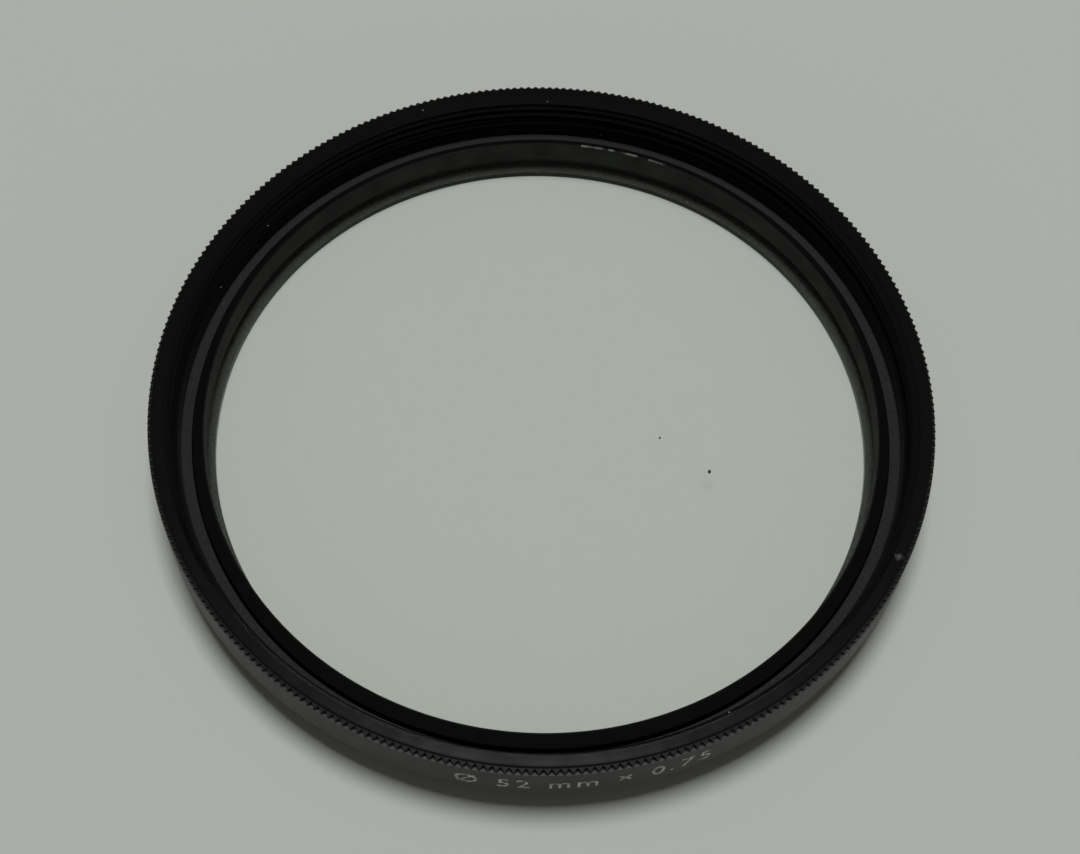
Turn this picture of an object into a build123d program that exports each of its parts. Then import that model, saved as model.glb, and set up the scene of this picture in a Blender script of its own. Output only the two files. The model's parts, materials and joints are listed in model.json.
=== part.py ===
from build123d import *
import os
from math import cos, pi, sin, sqrt

# A screw-in lens filter: a turned aluminium ring threaded at both ends, a flat glass disc that
# drops in from the front, and a bevelled ring that is pushed in on top to hold it.
# The axis is Z. The rear face lies on Z = 0 and the front, with the knurled rim, faces +Z.

# Threads, made as plain cylinders: the rear one screws into a lens, the front one takes a hood
thread_diameter = 52.0     # nominal size of both threads
thread_pitch = 0.75
thread_clearance = 0.05    # the rear thread's crest lies this far inside the nominal radius
lead_in = 0.45             # bevel at the mouth of the front thread
front_thread_depth = 2.40  # from the rim's face down to the end of the front thread
rear_bevel = 0.40          # bevel at the start of the rear thread
relief_width = 0.60        # groove where the rear thread runs out under its shoulder
relief_depth = 0.46        # down to the root of the rear thread

# Outside of the mount ring
rim_wall = 1.10            # metal between the front thread's root and the smooth band
band_bevel = 0.30
knurl_step = 0.03          # the knurl's crest lies this far inside the band
knurl_pitch = 0.536
knurl_depth = 0.26
knurl_height = 0.55
knurl_bevel = 0.40         # width of the shallow bevel across the tooth ends, round the rim's face
knurl_drop = 0.14          # how far that bevel falls

# Inside of the mount ring
barrel_wall = 1.50         # metal between the glass's bore and the rear thread's crest
seat_width = 1.30          # lip at the rear that the glass lies on
seat_thickness = 0.50
well_depth = 3.70          # from the rim's face down to the ledge at the foot of the well
well_step = 0.30           # the plain wall under the thread stands this far inside its crest
ledge_rise = 0.80          # from the glass up to the ledge
web = 0.30                 # metal between the ledge and the rear shoulder
edge_break = 0.10

# Glass and the ring that holds it
glass_thickness = 2.00
glass_clearance = 0.10
glass_bevel = 0.15
retainer_height = 1.90     # it stands up out of the bore, past the ledge
retainer_width = 0.85
retainer_clearance = 0.05
retainer_crest = 0.10      # flat left at its top, beside the opening
retainer_bevel = 0.57      # how far the bevel falls from there to the outside

# Radii that follow from these sizes
thread_radius = thread_diameter / 2
thread_form = 5 / 8 * sqrt(3) / 2 * thread_pitch
front_bore_radius = thread_radius - thread_form
well_radius = front_bore_radius - well_step
rear_thread_radius = thread_radius - thread_clearance
relief_radius = rear_thread_radius - relief_depth
band_radius = thread_radius + rim_wall
knurl_radius = band_radius - knurl_step
knurl_root_radius = knurl_radius - knurl_depth
past_band = band_radius + knurl_depth
bore_radius = rear_thread_radius - barrel_wall
seat_radius = bore_radius - seat_width
glass_radius = bore_radius - glass_clearance
retainer_radius = bore_radius - retainer_clearance
retainer_hole_radius = retainer_radius - retainer_width

# Heights that follow from them, from the rear face up
glass_top = seat_thickness + glass_thickness
retainer_top = glass_top + retainer_height
ledge_height = glass_top + ledge_rise
rear_shoulder_height = ledge_height - web
ring_height = ledge_height + well_depth
knurl_foot = ring_height - knurl_height


def turned(outline):
    """A solid of revolution about Z from its half section, given as (radius, height) corners."""
    corners = [(radius, 0, height) for radius, height in outline]
    return revolve(make_face(Polyline(*corners, close=True)), Axis.Z)


def ring_blank():
    """The mount ring as it comes off the lathe, before its rim is knurled."""
    return turned([
        (seat_radius, 0),
        (rear_thread_radius - rear_bevel, 0),
        (rear_thread_radius, rear_bevel),
        (rear_thread_radius, rear_shoulder_height - relief_width),
        (relief_radius, rear_shoulder_height - relief_width + relief_depth),
        (relief_radius, rear_shoulder_height),
        (band_radius - band_bevel, rear_shoulder_height),
        (band_radius, rear_shoulder_height + band_bevel),
        (band_radius, ring_height),
        (front_bore_radius + lead_in, ring_height),
        (front_bore_radius, ring_height - lead_in),
        (front_bore_radius, ring_height - front_thread_depth),
        (well_radius, ring_height - front_thread_depth),
        (well_radius, ledge_height),
        (bore_radius + edge_break, ledge_height),
        (bore_radius, ledge_height - edge_break),
        (bore_radius, seat_thickness),
        (seat_radius, seat_thickness),
    ])


def knurling():
    """What the knurling takes off round the front edge: a groove between each tooth and the next."""
    teeth = round(2 * pi * knurl_radius / knurl_pitch)
    corners = []
    for tooth in range(teeth):
        crest_angle = 2 * pi * tooth / teeth
        root_angle = crest_angle + pi / teeth
        corners.append((knurl_radius * cos(crest_angle), knurl_radius * sin(crest_angle)))
        corners.append((knurl_root_radius * cos(root_angle), knurl_root_radius * sin(root_angle)))
    section = Circle(past_band) - make_face(Polyline(*corners, close=True))
    return extrude(Pos(Z=knurl_foot) * section, knurl_height + knurl_depth)


def front_bevel():
    """What the bevel round the front face leaves standing. The knurl's grooves run out on it."""
    drop_past_band = knurl_drop * (past_band - knurl_radius + knurl_bevel) / knurl_bevel
    return turned([
        (0, 0),
        (past_band, 0),
        (past_band, ring_height - drop_past_band),
        (knurl_radius - knurl_bevel, ring_height),
        (0, ring_height),
    ])


def retaining_ring():
    """A ring that lies on the glass and stands up out of the bore, bevelled down to its outside."""
    return turned([
        (retainer_hole_radius, glass_top),
        (retainer_radius, glass_top),
        (retainer_radius, retainer_top - retainer_bevel),
        (retainer_hole_radius + retainer_crest, retainer_top),
        (retainer_hole_radius, retainer_top),
    ])


def filter_glass():
    """A flat disc of glass with its edges seamed."""
    return turned([
        (0, seat_thickness),
        (glass_radius - glass_bevel, seat_thickness),
        (glass_radius, seat_thickness + glass_bevel),
        (glass_radius, glass_top - glass_bevel),
        (glass_radius - glass_bevel, glass_top),
        (0, glass_top),
    ])


pieces = {
    "mount_ring": (ring_blank() - knurling()) & front_bevel(),
    "filter_glass": filter_glass(),
    "retaining_ring": retaining_ring(),
}

os.makedirs("parts", exist_ok=True)
for name, piece in pieces.items():
    export_step(piece, f"parts/{name}.step")
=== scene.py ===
import json
from math import atan2, cos, hypot, pi, radians, sin, sqrt, tan, tau

import bmesh
import bpy
from mathutils import Matrix, Vector


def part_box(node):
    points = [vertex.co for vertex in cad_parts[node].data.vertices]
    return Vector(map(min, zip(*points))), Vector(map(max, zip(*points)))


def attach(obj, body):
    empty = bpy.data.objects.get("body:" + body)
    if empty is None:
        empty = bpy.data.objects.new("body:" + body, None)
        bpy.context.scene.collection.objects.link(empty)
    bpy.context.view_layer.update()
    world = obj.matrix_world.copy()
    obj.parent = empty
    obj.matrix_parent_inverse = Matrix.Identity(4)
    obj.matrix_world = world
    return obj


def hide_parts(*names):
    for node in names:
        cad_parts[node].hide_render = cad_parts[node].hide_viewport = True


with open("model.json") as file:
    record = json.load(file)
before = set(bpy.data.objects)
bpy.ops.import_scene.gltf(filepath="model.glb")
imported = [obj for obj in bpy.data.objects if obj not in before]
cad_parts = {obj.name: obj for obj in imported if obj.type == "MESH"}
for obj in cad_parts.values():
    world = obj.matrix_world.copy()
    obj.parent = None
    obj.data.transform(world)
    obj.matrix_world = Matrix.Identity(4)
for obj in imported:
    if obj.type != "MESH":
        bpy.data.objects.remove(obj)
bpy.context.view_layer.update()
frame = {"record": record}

# Mount ring.
# One piece of aluminium, turned on a lathe and threaded at both ends. The front rim is knurled and
# the whole ring is anodised black. It carries the glass and the ring that holds the glass.
MM = 0.001
mounts = {mount["name"]: mount for mount in frame["record"]["mounts"]}
front_bore_radius = mounts["front_thread"]["dims"]["r_mm"] * MM
rear_thread_radius = mounts["rear_thread"]["dims"]["r_mm"] * MM
band_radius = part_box("mount_ring")[1].x
rim_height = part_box("mount_ring")[1].z
glass_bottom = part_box("filter_glass")[0].z

lead_in = 0.45 * MM
front_thread_foot = rim_height - 2.40 * MM
ledge_height = rim_height - 3.70 * MM
well_radius = front_bore_radius - 0.30 * MM
bore_radius = rear_thread_radius - 1.50 * MM
seat_radius = bore_radius - 1.30 * MM
edge_break = 0.10 * MM
rear_bevel = 0.40 * MM
rear_shoulder_height = ledge_height - 0.30 * MM
relief_foot = rear_shoulder_height - 0.60 * MM
relief_depth = 0.46 * MM            # of the groove where the rear thread runs out
band_bevel = 0.30 * MM
knurl_radius = band_radius - 0.03 * MM
knurl_depth = 0.26 * MM
knurl_bevel = 0.40 * MM             # width of the shallow bevel round the rim's face
knurl_drop = 0.14 * MM              # how far that bevel falls towards the outside
knurl_foot = rim_height - 0.55 * MM
knurl_root_radius = knurl_radius - knurl_depth
knurl_pitch = 0.536 * MM
knurl_crest = 0.025 * MM            # how far each tooth's ridge is worn flat, to either side
knurl_teeth = round(tau * knurl_radius / knurl_pitch)
turned_ease = 0.01 * MM             # the lathe leaves few corners quite sharp
ring_columns = 2 * knurl_teeth      # one column of points on each tooth and in each groove
same_place = 0.001 * MM             # points closer than this are one point


def ease_corners(outline, size):
    """The outline with each corner between its two ends cut off, so that it catches the light."""
    corners = [Vector(corner) for corner in outline]
    eased = [outline[0]]
    for before, corner, after in zip(corners, corners[1:], corners[2:]):
        for neighbour in (before, after):
            eased.append(tuple(corner + (neighbour - corner).normalized() * size))
    return eased + [outline[-1]]


def turn(name, outline, columns):
    """A turned piece: a circle is extruded from corner to corner of its half section and closed."""
    bpy.ops.object.select_all(action="DESELECT")
    radius, height = outline[0]
    bpy.ops.mesh.primitive_circle_add(vertices=columns, radius=radius, location=(0, 0, height))
    piece = bpy.context.object
    piece.name = name
    bpy.ops.object.transform_apply(location=True, rotation=True, scale=True)
    bpy.ops.object.mode_set(mode="EDIT")
    bpy.ops.mesh.select_all(action="SELECT")
    for next_radius, next_height in outline[1:] + outline[:1]:
        bpy.ops.mesh.extrude_region_move(
            TRANSFORM_OT_translate={"value": (0, 0, next_height - height)})
        growth = next_radius / radius
        bpy.ops.transform.resize(value=(growth, growth, 1), center_override=(0, 0, 0))
        radius, height = next_radius, next_height
    bpy.ops.mesh.select_all(action="SELECT")
    bpy.ops.mesh.remove_doubles(threshold=same_place)
    bpy.ops.mesh.normals_make_consistent(inside=False)
    bpy.ops.object.mode_set(mode="OBJECT")
    return piece


mount_ring = turn("filter_mount_ring", ease_corners([
    (band_radius, knurl_foot),
    (band_radius, rear_shoulder_height + band_bevel),
    (band_radius - band_bevel, rear_shoulder_height),
    (rear_thread_radius - relief_depth, rear_shoulder_height),
    (rear_thread_radius - relief_depth, relief_foot + relief_depth),
    (rear_thread_radius, relief_foot),
    (rear_thread_radius, rear_bevel),
    (rear_thread_radius - rear_bevel, 0),
    (seat_radius, 0),
    (seat_radius, glass_bottom),
    (bore_radius, glass_bottom),
    (bore_radius, ledge_height - edge_break),
    (bore_radius + edge_break, ledge_height),
    (well_radius, ledge_height),
    (well_radius, front_thread_foot),
    (front_bore_radius, front_thread_foot),
    (front_bore_radius, rim_height - lead_in),
], turned_ease) + [
    (front_bore_radius + lead_in, rim_height),
    (knurl_radius - knurl_bevel, rim_height),
    (knurl_radius, rim_height - knurl_drop),
    (knurl_radius, knurl_foot),
], ring_columns)


def select_points(piece, wanted):
    """Selects the points of the piece in edit mode for which wanted(radius, height, column) holds.
    Columns are counted from +Y, where the turned circle has its first point."""
    bpy.ops.mesh.select_mode(type="VERT")
    bpy.ops.mesh.select_all(action="DESELECT")
    mesh = bmesh.from_edit_mesh(piece.data)
    for point in mesh.verts:
        x, y, height = point.co
        column = round((atan2(y, x) - pi / 2) / tau * ring_columns) % ring_columns
        point.select_set(wanted(hypot(x, y), height, column))
    mesh.select_flush(True)
    bmesh.update_edit_mesh(piece.data)


def on_knurl(radius):
    """True on the knurl's outside, before its grooves are pressed in."""
    return abs(radius - knurl_radius) < same_place


def groove_foot(radius, height, column):
    """True in a groove of the knurl, at its lower end."""
    return column % 2 == 1 and on_knurl(radius) and abs(height - knurl_foot) < same_place


def groove_head(radius, height, column):
    """True in a groove of the knurl, where it meets the bevel at the front."""
    return column % 2 == 1 and on_knurl(radius) and height > knurl_foot + same_place


# The grooves of the knurl are pressed in down to the top of the smooth band, and run out on the
# shallow bevel round the rim's face. The ridges left between them are blunted.
bpy.ops.object.mode_set(mode="EDIT")
groove_scale = knurl_root_radius / knurl_radius
groove_rise = knurl_drop * knurl_depth / knurl_bevel
for groove_end, rise in ((groove_foot, 0), (groove_head, groove_rise)):
    select_points(mount_ring, groove_end)
    bpy.ops.transform.resize(value=(groove_scale, groove_scale, 1), center_override=(0, 0, 0))
    bpy.ops.transform.translate(value=(0, 0, rise))
select_points(mount_ring, lambda radius, height, column: on_knurl(radius))
bpy.ops.mesh.select_mode(type="EDGE")
bpy.ops.mesh.bevel(offset=knurl_crest, segments=1, affect="EDGES")
bpy.ops.object.mode_set(mode="OBJECT")

# Both threads are the 60 degree form. Each is cut by a tool with the groove's section, wound round
# the axis: the front one from the rim's face down to its foot, the rear one up to its relief groove.
thread_pitch = 0.75 * MM
thread_form = 5 / 8 * sqrt(3) / 2 * thread_pitch
front_root_flat = thread_pitch / 8
rear_root_flat = thread_pitch / 6
thread_slope = tan(radians(30))     # half the groove's width for each step out from its root
thread_steps = 322                  # round one turn; no step falls on a column of the ring's points
past_crest = 0.05 * MM              # the tool starts this far outside the thread's crest


def thread_tool(mouth_radius, root_radius, root_width, lowest, highest):
    """A helical cutter with the section of one groove, wound from below lowest to above highest."""
    mouth_width = root_width + 2 * thread_slope * abs(mouth_radius - root_radius)
    bpy.ops.object.select_all(action="DESELECT")
    bpy.ops.mesh.primitive_circle_add(vertices=4, radius=root_radius)
    tool = bpy.context.object
    section = [(mouth_radius, -mouth_width), (root_radius, -root_width),
               (root_radius, root_width), (mouth_radius, mouth_width)]
    for point, (radius, width) in zip(tool.data.vertices, section):
        point.co = (radius, 0, lowest - thread_pitch + width / 2)
    winding = tool.modifiers.new("winding", "SCREW")
    winding.axis = "Z"
    winding.screw_offset = thread_pitch
    winding.iterations = round((highest - lowest) / thread_pitch) + 2
    winding.steps = winding.render_steps = thread_steps
    bpy.ops.object.modifier_apply(modifier=winding.name)
    bpy.ops.object.mode_set(mode="EDIT")
    bpy.ops.mesh.select_all(action="SELECT")
    bpy.ops.mesh.fill_holes(sides=4)
    bpy.ops.mesh.select_all(action="SELECT")
    bpy.ops.mesh.normals_make_consistent(inside=False)
    return tool


def cut_thread(piece, tool, end_height, keep_side):
    """Ends the tool squarely at end_height, takes its shape out of the piece and puts it away."""
    bpy.ops.mesh.select_all(action="SELECT")
    bpy.ops.mesh.bisect(plane_co=(0, 0, end_height), plane_no=(0, 0, keep_side), use_fill=True,
                        clear_inner=True, threshold=same_place / 10)
    bpy.ops.object.mode_set(mode="OBJECT")
    bpy.ops.object.select_all(action="DESELECT")
    piece.select_set(True)
    bpy.context.view_layer.objects.active = piece
    cut = piece.modifiers.new("thread", "BOOLEAN")
    cut.operation = "DIFFERENCE"
    cut.solver = "EXACT"
    cut.object = tool
    bpy.ops.object.modifier_apply(modifier=cut.name)
    bpy.data.objects.remove(tool)


front_tool = thread_tool(front_bore_radius - past_crest, front_bore_radius + thread_form,
                         front_root_flat, front_thread_foot, rim_height)
cut_thread(mount_ring, front_tool, front_thread_foot, 1)
rear_tool = thread_tool(rear_thread_radius + past_crest, rear_thread_radius - relief_depth,
                        rear_root_flat, 0, relief_foot)
cut_thread(mount_ring, rear_tool, relief_foot, -1)
smooth_below = radians(15)          # any sharper edge is one that the lathe left
bpy.ops.object.shade_smooth_by_angle(angle=smooth_below)


def linear(code):
    """An sRGB colour such as #1A1B1A as the linear red, green, blue and alpha that a socket takes."""
    shares = [int(code[i:i + 2], 16) / 255 for i in (1, 3, 5)]
    return [s / 12.92 if s <= 0.04045 else ((s + 0.055) / 1.055) ** 2.4 for s in shares] + [1]


def add_node(tree, kind, sockets, **settings):
    """Adds a node with its settings. A socket takes a constant, or another node's output to link.
    A colour mix has its share in socket 0, its colours in 6 and 7 and its result in output 2."""
    added = tree.nodes.new(kind)
    for name, value in settings.items():
        setattr(added, name, value)
    for name, value in sockets.items():
        if isinstance(value, bpy.types.NodeSocket):
            tree.links.new(value, added.inputs[name])
        else:
            added.inputs[name].default_value = value
    return added


def new_material(name):
    """An empty material and its node tree."""
    material = bpy.data.materials.new(name)
    material.use_nodes = True
    material.node_tree.nodes.clear()
    return material, material.node_tree


def lathe_coordinates(tree):
    """The place on a turned piece, and its distance from the axis and its height there."""
    place = add_node(tree, "ShaderNodeTexCoord", {}).outputs["Object"]
    along = add_node(tree, "ShaderNodeSeparateXYZ", {"Vector": place}).outputs
    flat = add_node(tree, "ShaderNodeCombineXYZ", {"X": along["X"], "Y": along["Y"]})
    radius = add_node(tree, "ShaderNodeVectorMath", {0: flat.outputs["Vector"]}, operation="LENGTH")
    return place, radius.outputs["Value"], along["Z"]


def turning_marks(tree, radius, height):
    """The normal of a turned surface: rings round the axis, fine, shallow and of uneven depth."""
    tool_path = add_node(tree, "ShaderNodeCombineXYZ", {"X": radius, "Y": height})
    rings = add_node(tree, "ShaderNodeTexNoise", {
        "Vector": tool_path.outputs["Vector"], "Scale": 1 / turning_pitch, "Detail": 1.0},
        noise_dimensions="2D")
    marks = add_node(tree, "ShaderNodeBump", {
        "Strength": 1.0, "Distance": turning_depth, "Height": rings.outputs["Fac"]})
    return marks.outputs["Normal"]


# Black anodised aluminium, turned: a dyed oxide skin, deep black with a weak soft gloss. The lathe's
# fine rings show through it, dust greys the two ledges, and one small scuff on the rim shows bare.
turning_pitch = 0.08 * MM
turning_depth = 0.0008 * MM
mottle_size = 1.8 * MM              # patches with a little more or less gloss
dust_size = 0.22 * MM
speck_spacing = 1.7 * MM            # between single specks of dust
speck_radius = 0.05 * MM
scuff_azimuth = radians(-25)        # on the rim's face, right of the near side
scuff_radius = 26.4 * MM
scuff_size = 0.40 * MM
scuff_fray = 2.4 * scuff_size       # how far its edge is broken up
scuff_wear = 0.20                   # how far it is rubbed through to the bare metal
ledge_dust = 0.045                  # how much of the black is hidden there
seat_dust = 0.18
dust_dulling = 16.0                 # how fast the gloss goes as the dust grows
outside_dulling = 0.28              # fingers have dulled the outside of the ring
ring_metal, tree = new_material("black_anodised_aluminium")
place, radius, height = lathe_coordinates(tree)
dust = add_node(tree, "ShaderNodeTexNoise", {
    "Vector": place, "Scale": 1 / dust_size, "Detail": 4.0, "Roughness": 0.7})
dust_veil = add_node(tree, "ShaderNodeMapRange", {
    "Value": dust.outputs["Fac"], "From Min": 0.35, "From Max": 0.65, "To Min": 0.6, "To Max": 1.4})
grey = 0.0
for shelf_height, shelf_edge, shelf_dust in (
        (ledge_height, well_radius, ledge_dust), (glass_bottom, bore_radius, seat_dust)):
    level = add_node(tree, "ShaderNodeMath", {
        0: height, 1: shelf_height, 2: turned_ease}, operation="COMPARE")
    inside = add_node(tree, "ShaderNodeMath", {0: radius, 1: shelf_edge}, operation="LESS_THAN")
    shelf = add_node(tree, "ShaderNodeMath", {
        0: level.outputs[0], 1: inside.outputs[0]}, operation="MULTIPLY")
    grey = add_node(tree, "ShaderNodeMath", {
        0: shelf.outputs[0], 1: shelf_dust, 2: grey}, operation="MULTIPLY_ADD").outputs[0]
veiled = add_node(tree, "ShaderNodeMath", {
    0: grey, 1: dust_veil.outputs["Result"]}, operation="MULTIPLY")
specks = add_node(tree, "ShaderNodeTexVoronoi", {"Vector": place, "Scale": 1 / speck_spacing})
speck = add_node(tree, "ShaderNodeMath", {
    0: specks.outputs["Distance"], 1: speck_radius / speck_spacing}, operation="LESS_THAN")
dusty = add_node(tree, "ShaderNodeMath", {
    0: veiled.outputs[0], 1: speck.outputs[0]}, operation="MAXIMUM")
black_to_grey = add_node(tree, "ShaderNodeMix", {
    0: dusty.outputs[0], 6: linear("#060706"), 7: linear("#7C7F79")}, data_type="RGBA")
scuff_place = (scuff_radius * cos(scuff_azimuth), scuff_radius * sin(scuff_azimuth), rim_height)
from_scuff = add_node(tree, "ShaderNodeVectorMath", {0: place, 1: scuff_place}, operation="DISTANCE")
ragged = add_node(tree, "ShaderNodeMath", {
    0: dust.outputs["Fac"], 1: scuff_fray, 2: from_scuff.outputs["Value"]}, operation="MULTIPLY_ADD")
rubbed = add_node(tree, "ShaderNodeMapRange", {
    "Value": ragged.outputs[0], "From Min": scuff_size, "From Max": 2 * scuff_size,
    "To Min": scuff_wear, "To Max": 0.0}).outputs["Result"]
colour = add_node(tree, "ShaderNodeMix", {
    0: rubbed, 6: black_to_grey.outputs[2], 7: linear("#B4B6B3")}, data_type="RGBA")
mottle = add_node(tree, "ShaderNodeTexNoise", {
    "Vector": place, "Scale": 1 / mottle_size, "Detail": 3.0})
gloss = add_node(tree, "ShaderNodeMapRange", {
    "Value": mottle.outputs["Fac"], "From Min": 0.3, "From Max": 0.7, "To Min": 0.14, "To Max": 0.17})
outside = add_node(tree, "ShaderNodeMath", {
    0: radius, 1: knurl_root_radius}, operation="GREATER_THAN")
handled = add_node(tree, "ShaderNodeMath", {
    0: outside.outputs[0], 1: outside_dulling, 2: gloss.outputs["Result"]}, operation="MULTIPLY_ADD")
dulled = add_node(tree, "ShaderNodeMath", {
    0: dusty.outputs[0], 1: dust_dulling, 2: handled.outputs[0]},
    operation="MULTIPLY_ADD", use_clamp=True)
surface = add_node(tree, "ShaderNodeBsdfPrincipled", {
    "Base Color": colour.outputs[2], "Metallic": rubbed, "Roughness": dulled.outputs[0],
    "IOR": 1.5, "Specular IOR Level": 0.22, "Normal": turning_marks(tree, radius, height)})
add_node(tree, "ShaderNodeOutputMaterial", {"Surface": surface.outputs["BSDF"]})
mount_ring.data.materials.append(ring_metal)
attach(mount_ring, "root")
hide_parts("mount_ring")

# Size marking.
# The thread's diameter and pitch, engraved in the smooth band and filled with white paint. They read
# from in front, with their tops towards the rim.
marking_height = rim_height - 2.35 * MM
marking_azimuth = radians(-82)
letter_size = 2.0 * MM
letter_spacing = 1.25
paint_relief = 0.003 * MM           # how far the paint stands out of the band
bpy.ops.object.select_all(action="DESELECT")
bpy.ops.object.text_add()
marking = bpy.context.object
marking.name = "size_marking"
marking.data.body = "Ø 52 mm × 0.75"
marking.data.align_x = "CENTER"
marking.data.align_y = "CENTER"
marking.data.size = letter_size
marking.data.space_character = letter_spacing
marking.data.extrude = paint_relief
bpy.ops.object.convert(target="MESH")
bpy.ops.object.mode_set(mode="EDIT")
bpy.ops.mesh.select_all(action="SELECT")
bpy.ops.mesh.remove_doubles(threshold=same_place)
bpy.ops.mesh.normals_make_consistent(inside=False)
bpy.ops.object.mode_set(mode="OBJECT")
for point in marking.data.vertices:
    across, upward, outward = point.co
    point_azimuth = marking_azimuth + across / band_radius
    point_radius = band_radius + outward
    point.co = (point_radius * cos(point_azimuth), point_radius * sin(point_azimuth),
                marking_height + upward)

# White marking paint: dull and thin, worn through to the black in places
paint_wear_size = 0.30 * MM
white_paint, tree = new_material("white_marking_paint")
place = add_node(tree, "ShaderNodeTexCoord", {}).outputs["Object"]
wear = add_node(tree, "ShaderNodeTexNoise", {
    "Vector": place, "Scale": 1 / paint_wear_size, "Detail": 3.0, "Roughness": 0.6})
worn = add_node(tree, "ShaderNodeMapRange", {
    "Value": wear.outputs["Fac"], "From Min": 0.42, "From Max": 0.62})
colour = add_node(tree, "ShaderNodeMix", {
    0: worn.outputs["Result"], 6: linear("#C6C8C2"), 7: linear("#5E605C")}, data_type="RGBA")
surface = add_node(tree, "ShaderNodeBsdfPrincipled", {
    "Base Color": colour.outputs[2], "Roughness": 0.6, "IOR": 1.5})
add_node(tree, "ShaderNodeOutputMaterial", {"Surface": surface.outputs["BSDF"]})
marking.data.materials.append(white_paint)
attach(marking, "root")

# Filter glass.
# A flat disc of clear optical glass, ground and polished, with its edges seamed. It drops into the
# ring's bore from the front and lies on the lip at the rear.
glass_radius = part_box("filter_glass")[1].x
glass_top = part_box("filter_glass")[1].z
glass_bevel = 0.15 * MM
glass_columns = 256
square_corner = radians(60)         # edges that turn by more than this are seamed
air_film = 0.004 * MM               # left where the glass lies dry against the metal
bpy.ops.object.select_all(action="DESELECT")
bpy.ops.mesh.primitive_cylinder_add(
    vertices=glass_columns, radius=glass_radius, depth=glass_top - glass_bottom - 2 * air_film,
    location=(0, 0, (glass_bottom + glass_top) / 2))
glass = bpy.context.object
glass.name = "filter_glass_disc"
bpy.ops.object.transform_apply(location=True, rotation=True, scale=True)
bevel = glass.modifiers.new("seamed_edge", "BEVEL")
bevel.width = glass_bevel
bevel.segments = 1
bevel.limit_method = "ANGLE"
bevel.angle_limit = square_corner
bpy.ops.object.modifier_apply(modifier=bevel.name)
bpy.ops.object.shade_smooth_by_angle(angle=smooth_below)

# Clear optical glass, coated: it shows what lies behind it, a little displaced, with a weak gloss on
# top. Light on its way to or from a dull surface passes straight through, so it leaves no glitter.
coating_nanometres = 100.0
coating_ior = 1.38
clear_glass, tree = new_material("clear_optical_glass")
surface = add_node(tree, "ShaderNodeBsdfPrincipled", {
    "Base Color": linear("#FEFFFE"), "Roughness": 0.0, "IOR": 1.52, "Transmission Weight": 1.0,
    "Thin Film Thickness": coating_nanometres, "Thin Film IOR": coating_ior})
through = add_node(tree, "ShaderNodeBsdfTransparent", {"Color": linear("#FEFFFE")})
path = add_node(tree, "ShaderNodeLightPath", {})
lighting = add_node(tree, "ShaderNodeMath", {
    0: path.outputs["Is Shadow Ray"], 1: path.outputs["Is Diffuse Ray"]}, operation="MAXIMUM")
pane = add_node(tree, "ShaderNodeMixShader", {
    0: lighting.outputs[0], 1: surface.outputs["BSDF"], 2: through.outputs["BSDF"]})
add_node(tree, "ShaderNodeOutputMaterial", {"Surface": pane.outputs["Shader"]})

# Ground glass edge, inked: dull all round, and seen through the glass an uneven dark grey
ground_grain = 0.15 * MM
inked_edge, tree = new_material("inked_ground_glass_edge")
place = add_node(tree, "ShaderNodeTexCoord", {}).outputs["Object"]
ground = add_node(tree, "ShaderNodeTexNoise", {"Vector": place, "Scale": 1 / ground_grain})
colour = add_node(tree, "ShaderNodeMix", {
    0: ground.outputs["Fac"], 6: linear("#1E201E"), 7: linear("#50524E")}, data_type="RGBA")
surface = add_node(tree, "ShaderNodeBsdfPrincipled", {
    "Base Color": colour.outputs[2], "Roughness": 0.9, "IOR": 1.5, "Specular IOR Level": 0.2})
add_node(tree, "ShaderNodeOutputMaterial", {"Surface": surface.outputs["BSDF"]})
glass.data.materials.append(clear_glass)
glass.data.materials.append(inked_edge)
for face in glass.data.polygons:
    if hypot(face.center.x, face.center.y) > glass_radius - glass_bevel:
        face.material_index = 1
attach(glass, "root")
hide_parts("filter_glass")

# Grains of dirt.
# Two small dark grains that lie on the front of the glass, right of its middle.
grain_spots = [(11.9 * MM, -3.1 * MM, 0.32 * MM), (8.4 * MM, -0.55 * MM, 0.20 * MM)]
grain_narrowing = 0.75
grain_flatness = 0.45
grain_unevenness = 1 / 14           # how far its points stray, as a share of its size
grain_seed = 3
grains = []
for x, y, size in grain_spots:
    middle = (x, y, glass_top + grain_flatness * size / 2)
    bpy.ops.object.select_all(action="DESELECT")
    bpy.ops.mesh.primitive_ico_sphere_add(subdivisions=2, radius=size / 2, location=middle)
    bpy.ops.object.transform_apply(location=True, rotation=True, scale=True)
    bpy.ops.object.mode_set(mode="EDIT")
    bpy.ops.mesh.select_all(action="SELECT")
    bpy.ops.transform.resize(value=(grain_narrowing, 1, grain_flatness), center_override=middle)
    bpy.ops.transform.vertex_random(offset=grain_unevenness * size, seed=grain_seed)
    bpy.ops.object.mode_set(mode="OBJECT")
    grains.append(bpy.context.object)
for grain in grains:
    grain.select_set(True)
bpy.ops.object.join()
dirt = bpy.context.object
dirt.name = "dirt_on_glass"

# Dark grit: dull, near black, with a brown cast where it is thin
grit_size = 0.08 * MM
dark_grit, tree = new_material("dark_grit")
place = add_node(tree, "ShaderNodeTexCoord", {}).outputs["Object"]
patches = add_node(tree, "ShaderNodeTexNoise", {"Vector": place, "Scale": 1 / grit_size})
colour = add_node(tree, "ShaderNodeMix", {
    0: patches.outputs["Fac"], 6: linear("#0E0F0D"), 7: linear("#2A2823")}, data_type="RGBA")
surface = add_node(tree, "ShaderNodeBsdfPrincipled", {
    "Base Color": colour.outputs[2], "Roughness": 0.8})
add_node(tree, "ShaderNodeOutputMaterial", {"Surface": surface.outputs["BSDF"]})
dirt.data.materials.append(dark_grit)
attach(dirt, "root")

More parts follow.
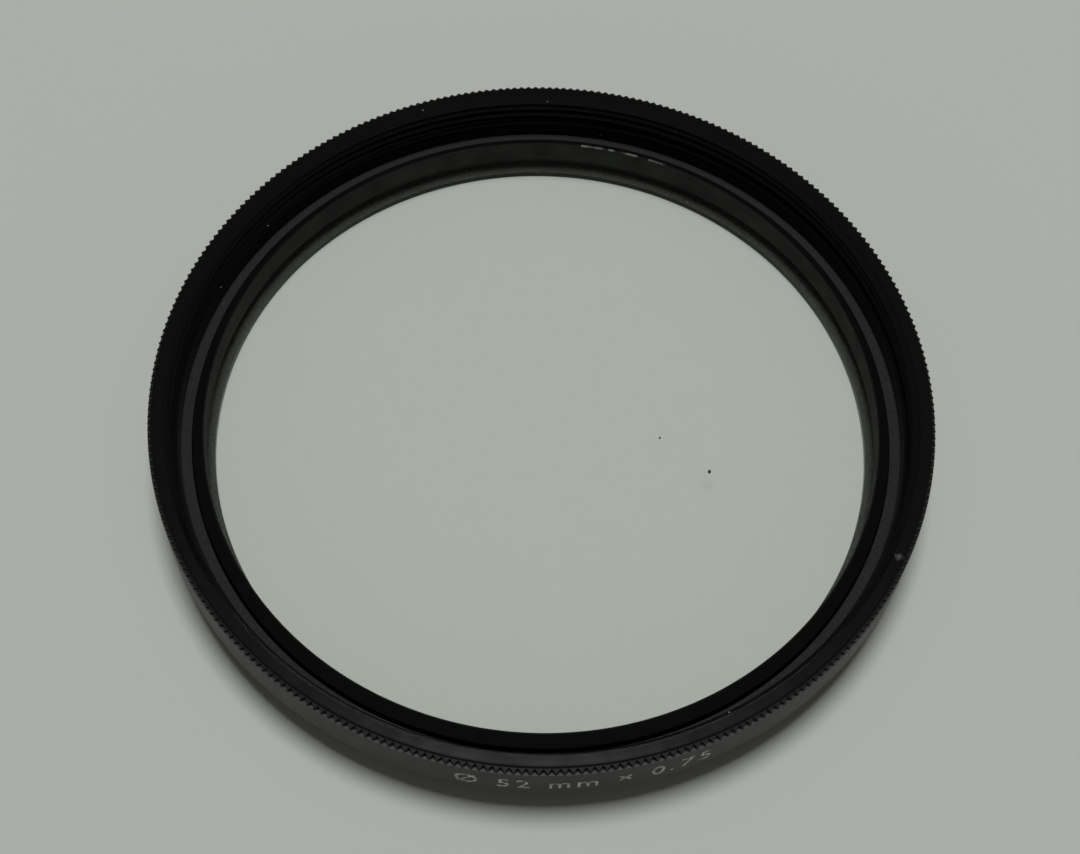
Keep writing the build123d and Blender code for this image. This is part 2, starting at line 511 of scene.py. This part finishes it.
# Retaining ring.
# A ring of aluminium, turned and anodised black, that is pushed into the bore on top of the glass.
# It stands up past the ledge and is bevelled down to its outside.
retainer_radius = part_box("retaining_ring")[1].x
retainer_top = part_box("retaining_ring")[1].z
retainer_hole_radius = retainer_radius - 0.85 * MM
retainer_middle = (retainer_hole_radius + retainer_radius) / 2
retainer_crest = 0.10 * MM
retainer_bevel = 0.57 * MM
retainer_columns = 512
retainer = turn("glass_retaining_ring", ease_corners([
    (retainer_middle, glass_top),
    (retainer_radius, glass_top),
    (retainer_radius, retainer_top - retainer_bevel),
    (retainer_hole_radius + retainer_crest, retainer_top),
    (retainer_hole_radius, retainer_top),
    (retainer_hole_radius, glass_top + turned_ease),
    (retainer_hole_radius + turned_ease, glass_top),
], turned_ease / 2), retainer_columns)
bpy.ops.object.shade_smooth_by_angle(angle=smooth_below)

# The same black anodised aluminium with less gloss, greyed by dust on its inner wall. On the far side
# its crest is rubbed thin in short grey dashes, where a tool has slipped round it.
dash_azimuth = radians(77)
dash_spread = radians(8)            # to either side
dash_length = 0.9 * MM
crest_depth = 0.09 * MM             # how far down from the top it is rubbed
retainer_metal, tree = new_material("black_anodised_retaining_ring")
place, radius, height = lathe_coordinates(tree)
along = add_node(tree, "ShaderNodeSeparateXYZ", {"Vector": place}).outputs
azimuth = add_node(tree, "ShaderNodeMath", {
    0: along["Y"], 1: along["X"]}, operation="ARCTAN2").outputs[0]
on_crest = add_node(tree, "ShaderNodeMath", {
    0: height, 1: retainer_top - crest_depth}, operation="GREATER_THAN")
rubbed_side = add_node(tree, "ShaderNodeMath", {
    0: azimuth, 1: dash_azimuth, 2: dash_spread}, operation="COMPARE")
dashes = add_node(tree, "ShaderNodeTexNoise", {
    "W": azimuth, "Scale": retainer_hole_radius / dash_length, "Detail": 3.0}, noise_dimensions="1D")
bare_dash = add_node(tree, "ShaderNodeMapRange", {
    "Value": dashes.outputs["Fac"], "From Min": 0.40, "From Max": 0.70, "To Max": 0.55})
rubbed_crest = add_node(tree, "ShaderNodeMath", {
    0: on_crest.outputs[0], 1: rubbed_side.outputs[0]}, operation="MULTIPLY")
bare = add_node(tree, "ShaderNodeMath", {
    0: rubbed_crest.outputs[0], 1: bare_dash.outputs["Result"]}, operation="MULTIPLY")
mottle = add_node(tree, "ShaderNodeTexNoise", {
    "Vector": place, "Scale": 1 / mottle_size, "Detail": 3.0})
on_wall = add_node(tree, "ShaderNodeMath", {
    0: radius, 1: retainer_hole_radius + turned_ease / 2}, operation="LESS_THAN")
dusty_wall = add_node(tree, "ShaderNodeMath", {
    0: on_wall.outputs[0], 1: mottle.outputs["Fac"]}, operation="MULTIPLY")
black_to_grey = add_node(tree, "ShaderNodeMix", {
    0: dusty_wall.outputs[0], 6: linear("#070807"), 7: linear("#404240")}, data_type="RGBA")
colour = add_node(tree, "ShaderNodeMix", {
    0: bare.outputs[0], 6: black_to_grey.outputs[2], 7: linear("#8C8E8A")}, data_type="RGBA")
gloss = add_node(tree, "ShaderNodeMapRange", {
    "Value": mottle.outputs["Fac"], "From Min": 0.3, "From Max": 0.7, "To Min": 0.62, "To Max": 0.72})
surface = add_node(tree, "ShaderNodeBsdfPrincipled", {
    "Base Color": colour.outputs[2], "Metallic": bare.outputs[0], "Roughness": gloss.outputs["Result"],
    "IOR": 1.5, "Specular IOR Level": 0.08, "Normal": turning_marks(tree, radius, height)})
add_node(tree, "ShaderNodeOutputMaterial", {"Surface": surface.outputs["BSDF"]})
retainer.data.materials.append(retainer_metal)
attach(retainer, "root")
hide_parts("retaining_ring")

# Floor.
# A plain pale surface that the filter lies on. It isn't part of the object.
floor_size = 3.0
bpy.ops.object.select_all(action="DESELECT")
bpy.ops.mesh.primitive_plane_add(size=floor_size)
floor = bpy.context.object
floor.name = "floor"
pale_floor, tree = new_material("plain_pale_floor")
surface = add_node(tree, "ShaderNodeBsdfPrincipled", {
    "Base Color": linear("#ABAEA8"), "Roughness": 0.9, "Specular IOR Level": 0.2})
add_node(tree, "ShaderNodeOutputMaterial", {"Surface": surface.outputs["BSDF"]})
floor.data.materials.append(pale_floor)

# Light.
# A soft panel high overhead, a little beyond the far side of the filter, in a dim room. Together
# they light the floor to its written colour.
room_level_near = 0.20              # behind the camera
room_level_far = 0.08
panel_level = 0.86                  # how bright the panel alone makes a white floor
panel_distance = 0.8
panel_elevation = radians(86.5)
panel_spread = radians(9)           # half the angle that the panel fills, seen from the filter
world = bpy.data.worlds.new("dim_room")
bpy.context.scene.world = world
world.use_nodes = True
tree = world.node_tree
outward = add_node(tree, "ShaderNodeTexCoord", {}).outputs["Generated"]
depth = add_node(tree, "ShaderNodeSeparateXYZ", {"Vector": outward}).outputs["Y"]
room_level = add_node(tree, "ShaderNodeMapRange", {
    "Value": depth, "From Min": -1.0, "To Min": room_level_near, "To Max": room_level_far})
tree.links.new(room_level.outputs["Result"], tree.nodes["Background"].inputs["Strength"])
tree.nodes["Background"].inputs["Color"].default_value = linear("#FFFFFF")
bpy.ops.object.light_add(type="AREA", location=(
    0, panel_distance * cos(panel_elevation), panel_distance * sin(panel_elevation)))
panel = bpy.context.object
panel.name = "overhead_panel"
panel.data.shape = "DISK"
panel.data.size = 2 * panel_distance * tan(panel_spread)
panel.data.energy = panel_level * (pi * panel_distance / cos(panel_spread)) ** 2
panel.rotation_euler = (panel_elevation - pi / 2, 0, 0)

# Camera.
# It looks down on the filter from in front, close by, as the photograph was taken.
camera_distance = 130 * MM
camera_elevation = radians(60.85)
camera_roll = radians(2.58)
camera_aside = -0.21 * MM           # its shift across the view, which frames the filter off centre
camera_above = -2.255 * MM
lens_pixels = 1887.5                # focal length, in pixels of the picture
picture_width = 1080
sensor_width = 36
nearest_seen = 10 * MM
back = Vector((0, -cos(camera_elevation), sin(camera_elevation)))
level_up = Vector((0, sin(camera_elevation), cos(camera_elevation)))
level_right = Vector((1, 0, 0))
right = level_right * cos(camera_roll) + level_up * sin(camera_roll)
up = level_up * cos(camera_roll) - level_right * sin(camera_roll)
stand = Vector((0, 0, rim_height)) + back * camera_distance + right * camera_aside + up * camera_above
bpy.ops.object.camera_add()
camera = bpy.context.object
camera.matrix_world = Matrix.Translation(stand) @ Matrix((right, up, back)).transposed().to_4x4()
camera.data.sensor_fit = "HORIZONTAL"
camera.data.sensor_width = sensor_width
camera.data.lens = lens_pixels * sensor_width / picture_width
camera.data.clip_start = nearest_seen
bpy.context.scene.camera = camera
bpy.context.scene.view_settings.view_transform = "Standard"
